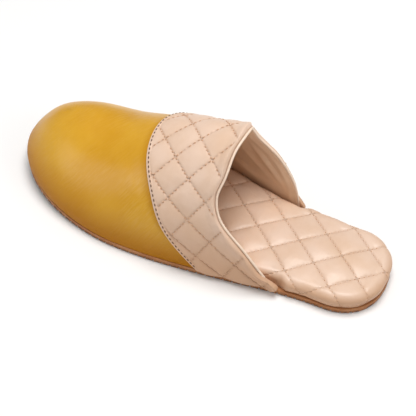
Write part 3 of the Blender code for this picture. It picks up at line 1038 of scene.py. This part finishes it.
# %% Shape of the footbed
FOOTBED_QUILT = Quilt(-0.0273, -0.0101, -0.0136, -0.0131, -0.0152, 0.0119)
FOOTBED_HEIGHT = 0.0118
FOOTBED_ROUND = 0.0045
FOOTBED_CROWN = 0.0016
FOOTBED_EDGE = 0.0009
FOOTBED_STEP = 0.0065
FOOTBED_LEAD = 0.0016
FOOTBED_TUCK = 0.0003
WALL = 0.0020
FOOTBED_PAD = 0.0014
FOOTBED_SIDE = FOOTBED_HEIGHT - FOOTBED_CROWN - FOOTBED_ROUND
FOOTBED_BULGE = 0.0013
BULGE_TOP = 0.0100
SIDE_SHARE = 0.13
SHOULDER_SHARE = 0.30


def footbed_path(v):
    """Inset, height, share of the way to the middle and tilt, along the section."""
    side = np.clip(v / SIDE_SHARE, 0.0, 1.0)
    round_share = np.clip((v - SIDE_SHARE) / (SHOULDER_SHARE - SIDE_SHARE), 0.0, 1.0)
    inwards = np.clip((v - SHOULDER_SHARE) / (1.0 - SHOULDER_SHARE), 0.0, 1.0)
    angle = round_share * math.pi / 2.0
    inset = FOOTBED_ROUND * (1.0 - np.cos(angle))
    up = FOOTBED_SIDE * side + FOOTBED_ROUND * np.sin(angle)
    up = up + FOOTBED_CROWN * (1.0 - (1.0 - inwards) ** 2)
    unrolled = FOOTBED_ROUND * (math.pi / 2.0 - angle) + FOOTBED_SIDE * (1.0 - side)
    return inset, up, inwards, angle, unrolled


def footbed_outline(station, side, inset, up):
    """The footbed's outline at a height, outside and under the upper."""
    narrow_by = collar_station(side) - rounded_foot(side) - FOOTBED_LEAD
    inside = smooth_step((station - narrow_by + FOOTBED_STEP) / FOOTBED_STEP)
    snug = SOLE_EDGE + WALL + CLEARANCE + FOOTBED_TUCK
    inset = inset + FOOTBED_EDGE + (snug - FOOTBED_EDGE) * inside
    foot_x, foot_y = edge_point(station, side, inset)
    x = foot_x
    for _ in range(3):
        low = sole_top(foot_x) + CLEARANCE
        share = np.clip(up / (crest_height(x) - low), 0.0, 1.0)
        turn = np.arcsin(share ** (side_exponent(station) / 2.0))
        inward = inside * (1.0 - np.cos(turn) ** (2.0 / CREST_EXPONENT))
        x = foot_x + (crest_x(station) - foot_x) * inward
    return x, foot_y + (-CREST_LEAN - foot_y) * inward


def free_side(station, side):
    """1 where nothing covers the footbed's side, and 0 where the upper does."""
    return smooth_step((collar_station(side) - LOBE_LENGTH - station) / FOOTBED_STEP)


def footbed_place(u, v):
    """The footbed's cover, with its quilting."""
    side = np.where(u < 0.5, 1.0, -1.0)
    reach = 1.0 - np.abs(2.0 * u - 1.0)
    station = HEEL_STATION + (TOE_STATION - HEEL_STATION) * reach
    inset, up, inwards, angle, unrolled = footbed_path(v)
    x, y = footbed_outline(station, side, inset, up)
    in_x, in_y = edge_frame(station, side)[2:]
    top_x, top_y = footbed_outline(station, side, FOOTBED_ROUND, FOOTBED_SIDE + FOOTBED_ROUND)
    spine_x = np.clip(station_x(station), HEEL_X, TOE_X)
    spine_y = half_widths(spine_x)[1] - CENTRE
    x = x + (spine_x - x) * inwards
    y = y + (spine_y - y) * inwards
    flat_x = np.where(inwards > 0.0, x, top_x - in_x * unrolled)
    flat_y = np.where(inwards > 0.0, y, top_y - in_y * unrolled)
    pattern = lattice(FOOTBED_QUILT, flat_x, flat_y)
    sunk = FOOTBED_PAD * (1.0 - pad_height(pattern))
    sunk = sunk * (0.45 + 0.55 * smooth_step(inwards / 0.12))
    bulge = FOOTBED_BULGE * np.sin(math.pi * np.clip(up / BULGE_TOP, 0.0, 1.0)) ** 0.8
    out = np.cos(angle) * sunk - bulge * free_side(station, side)
    z = sole_top(x) + CLEARANCE + up - np.sin(angle) * sunk
    points = np.stack([x + in_x * out, y + in_y * out, z], axis=-1)
    values = {
        "quilted": np.ones_like(u),
        "groove": groove_depth(pattern),
        # Small on the footbed's sides, which get painted shade.
        "lit_and_polished": smooth_step(angle / (math.pi / 2.0)),
        "turned": np.zeros_like(u),
    }
    return points, pattern, values


# %% Lay the footbed
FOOTBED_COLUMNS = 760
FOOTBED_ROWS = 84

builder = lay_grid("footbed", FOOTBED_COLUMNS, FOOTBED_ROWS, footbed_place)
open_ends = [edge for edge in builder.edges if edge.is_boundary]
bmesh.ops.holes_fill(builder, edges=open_ends, sides=0)
point_outwards(builder)
footbed = to_object("quilted_footbed", builder, FOOTBED_FINISH)
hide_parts("footbed")

# %% [markdown]
# ## Stitches
#
# Each stitch is a short bead of thread that lies in the groove it pulls. Texture could
# draw them, but real beads catch the light and cast their own small shadows. For each
# line of the lattice, the places of the stitches are known as pattern coordinates, so
# a few steps of Newton's method find where on the piece those coordinates are.


# %% Find the stitches on a piece
def find_on(place, targets, columns, rows):
    """The shares u and v where a piece has the target pattern coordinates."""
    u, v = np.meshgrid(np.linspace(0.002, 0.998, columns), np.linspace(0.01, 0.99, rows))
    u = u.ravel()
    v = v.ravel()
    known = place(u, v)[1]
    nearest = [int(np.argmin(((known - target) ** 2).sum(axis=1))) for target in targets]
    u = u[nearest]
    v = v[nearest]
    nudge = 1e-4
    for _ in range(6):
        here = place(u, v)[1]
        by_u = (place(u + nudge, v)[1] - here) / nudge
        by_v = (place(u, v + nudge)[1] - here) / nudge
        off = targets - here
        area = by_u[:, 0] * by_v[:, 1] - by_u[:, 1] * by_v[:, 0]
        area = np.where(np.abs(area) < 1e-9, 1e-9, area)
        u = u + np.clip((off[:, 0] * by_v[:, 1] - off[:, 1] * by_v[:, 0]) / area, -0.02, 0.02)
        v = v + np.clip((off[:, 1] * by_u[:, 0] - off[:, 0] * by_u[:, 1]) / area, -0.05, 0.05)
        u = np.clip(u, 0.0005, 0.9995)
        v = np.clip(v, 0.0, 1.0)
    error = np.abs(targets - place(u, v)[1]).max(axis=1)
    return u, v, error < 2e-3


def lattice_stitches(place, reach, columns, rows):
    """Ends of all stitches along the lines of a piece's lattice."""
    pairs = []
    half = 0.26 / STITCHES_PER_CELL
    for whole in range(-reach, reach + 1):
        for number in range(-reach * STITCHES_PER_CELL, reach * STITCHES_PER_CELL):
            middle = (number + 0.5) / STITCHES_PER_CELL
            pairs.append(((whole, middle - half), (whole, middle + half)))
            pairs.append(((middle - half, whole), (middle + half, whole)))
    starts = np.array([pair[0] for pair in pairs], dtype=float)
    ends = np.array([pair[1] for pair in pairs], dtype=float)
    known = place(*[share.ravel() for share in np.meshgrid(
        np.linspace(0.0, 1.0, 80), np.linspace(0.0, 1.0, 40))])[1]
    low = known.min(axis=0)
    high = known.max(axis=0)
    inside = np.all((starts > low) & (ends < high), axis=1)
    starts = starts[inside]
    ends = ends[inside]
    u_start, v_start, good_start = find_on(place, starts, columns, rows)
    u_end, v_end, good_end = find_on(place, ends, columns, rows)
    first = place(u_start, v_start)
    second = place(u_end, v_end)
    shown = (first[2]["quilted"] > 0.20) & (second[2]["quilted"] > 0.20)
    keep = good_start & good_end & shown
    keep = keep & (np.linalg.norm(first[0] - second[0], axis=1) < 0.004)
    return first[0][keep], second[0][keep], normals_at(place, u_start, v_start)[keep]


def normals_at(place, u, v):
    """The direction out of a piece's surface at shares u and v."""
    nudge = 1e-3
    by_u = place(np.minimum(u + nudge, 1.0), v)[0] - place(np.maximum(u - nudge, 0.0), v)[0]
    by_v = place(u, np.minimum(v + nudge, 1.0))[0] - place(u, np.maximum(v - nudge, 0.0))[0]
    normal = np.cross(by_u, by_v)
    size = np.linalg.norm(normal, axis=1, keepdims=True)
    normal = normal / np.maximum(size, 1e-12)
    return normal


# %% Sew the stitches
THREAD_WIDTH = 0.00100
THREAD_HEIGHT = 0.00080
THREAD_SIDES = 6
THREAD_RINGS = 5


def sew(name, starts, ends, normals, material, width=THREAD_WIDTH, height=THREAD_HEIGHT):
    """One joined mesh with a bead of thread between each start and end."""
    bead = bmesh.new()
    bmesh.ops.create_uvsphere(bead, u_segments=THREAD_SIDES, v_segments=THREAD_RINGS, radius=1.0)
    pattern = bpy.data.meshes.new("bead_of_thread")
    bead.to_mesh(pattern)
    bead.free()
    builder = bmesh.new()
    for start, end, normal in zip(starts, ends, normals):
        along = Vector(end - start)
        out = Vector(normal)
        out = (out - along * (out.dot(along) / along.length_squared)).normalized()
        side = out.cross(along).normalized()
        middle = Vector((start + end) / 2.0) + out * height * 0.25
        axes = Matrix((side * width / 2.0, out * height / 2.0, along / 2.0)).transposed()
        stitch = pattern.copy()
        stitch.transform(Matrix.Translation(middle) @ axes.to_4x4())
        builder.from_mesh(stitch)
        bpy.data.meshes.remove(stitch)
    bpy.data.meshes.remove(pattern)
    point_outwards(builder)
    piece = to_object(name, builder, material)
    print(name, "has", len(starts), "stitches")
    return piece


band_sewing = lattice_stitches(band_place, 14, 160, 60)
sew("band_stitches", *band_sewing, PALE_THREAD_FINISH, width=0.0009)
footbed_sewing = lattice_stitches(footbed_place, 14, 300, 50)
sew("footbed_stitches", *footbed_sewing, THREAD_FINISH)

# %% [markdown]
# ## The seam and the collar's edge
#
# A row of darker stitches holds the band's turned edge on the vamp, a little way in
# from it. At the collar, the lining ends in a narrow bead that shows as a bright line
# inside the roll of the band. The bead is a round bar swept along the collar's edge.

# %% Sew the seam
SEAM_INSET = 0.0023
SEAM_PITCH = 0.0030
SEAM_STITCH = 0.0019


def along_edge(edge_girths, point_at, pitch, length):
    """Starts and ends of stitches spaced evenly along a line on the slipper."""
    points = point_at(edge_girths)
    steps = np.linalg.norm(np.diff(points, axis=0), axis=1)
    run = np.concatenate([[0.0], np.cumsum(steps)])
    middles = np.arange(pitch, run[-1] - pitch, pitch)
    starts = np.interp(middles - length / 2.0, run, edge_girths)
    ends = np.interp(middles + length / 2.0, run, edge_girths)
    return starts, ends


def on_seam(girth):
    """A point of the band's face, in from the seam."""
    station = seam_station(girth) - SEAM_INSET / np.interp(girth, *SEAM_SCALE)
    height = band_height(station, girth)[0]
    return last_point(station, girth) + last_normal(station, girth) * height[:, None]


girths = np.linspace(-0.985, 0.985, 801)
starts, ends = along_edge(girths, on_seam, SEAM_PITCH, SEAM_STITCH)
seam_normals = last_normal(seam_station(starts), starts)
SEAM_THREAD = thread_finish("seam_thread", (0.180, 0.085, 0.045), (0.100, 0.045, 0.022))
sew("seam_stitches", on_seam(starts), on_seam(ends), seam_normals, SEAM_THREAD, height=0.0004)

# %% Sweep the bead
BEAD_RADIUS = 0.0008
BEAD_INSIDE = -0.0004
BEAD_FORWARD = 0.0000
BEAD_SIDES = 14
BEAD_LENGTHS = 420


def bead_place(u, v):
    """Round and along the bead on the collar's edge."""
    girth = 0.995 - 1.990 * v
    nudge = 1e-3

    def middle_at(spot):
        return last_point(collar_station(spot) + BEAD_FORWARD, spot, inside=BEAD_INSIDE)

    middle = middle_at(girth)
    along = middle_at(girth - nudge) - middle_at(girth + nudge)
    along = along / np.linalg.norm(along, axis=-1, keepdims=True)
    out = last_normal(collar_station(girth), girth)
    out = out - along * np.sum(out * along, axis=-1, keepdims=True)
    out = out / np.linalg.norm(out, axis=-1, keepdims=True)
    side = np.cross(along, out)
    turn = (2.0 * math.pi * u)[:, None]
    points = middle + BEAD_RADIUS * (out * np.cos(turn) + side * np.sin(turn))
    return points, np.stack([u, v], axis=-1), {}


builder = lay_grid("collar_bead", BEAD_SIDES, BEAD_LENGTHS, bead_place)
open_ends = [edge for edge in builder.edges if edge.is_boundary]
bmesh.ops.holes_fill(builder, edges=open_ends, sides=0)
point_outwards(builder)
to_object("collar_bead", builder, BEAD_FINISH)

# %% [markdown]
# ## The outsole
#
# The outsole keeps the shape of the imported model, whose lugs and ledge are already
# the real ones. It only takes the finish of brown rubber.

# %% Finish the outsole
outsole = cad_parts["outsole"]
outsole.data.materials.clear()
outsole.data.materials.append(RUBBER_FINISH)

# %% [markdown]
# ## The floor
#
# A wide pale plane carries the slipper and catches its soft shadow.

# %% Lay the floor
FLOOR_SIZE = 6.0

floor_finish = Finish("pale_floor", roughness=0.85)
floor_finish.shader.inputs["Base Color"].default_value = (0.92, 0.915, 0.905, 1.0)
builder = bmesh.new()
bmesh.ops.create_grid(builder, x_segments=1, y_segments=1, size=FLOOR_SIZE / 2.0)
floor_mesh = bpy.data.meshes.new("floor")
builder.to_mesh(floor_mesh)
builder.free()
floor_mesh.materials.append(floor_finish.material)
floor = bpy.data.objects.new("floor", floor_mesh)
bpy.context.scene.collection.objects.link(floor)
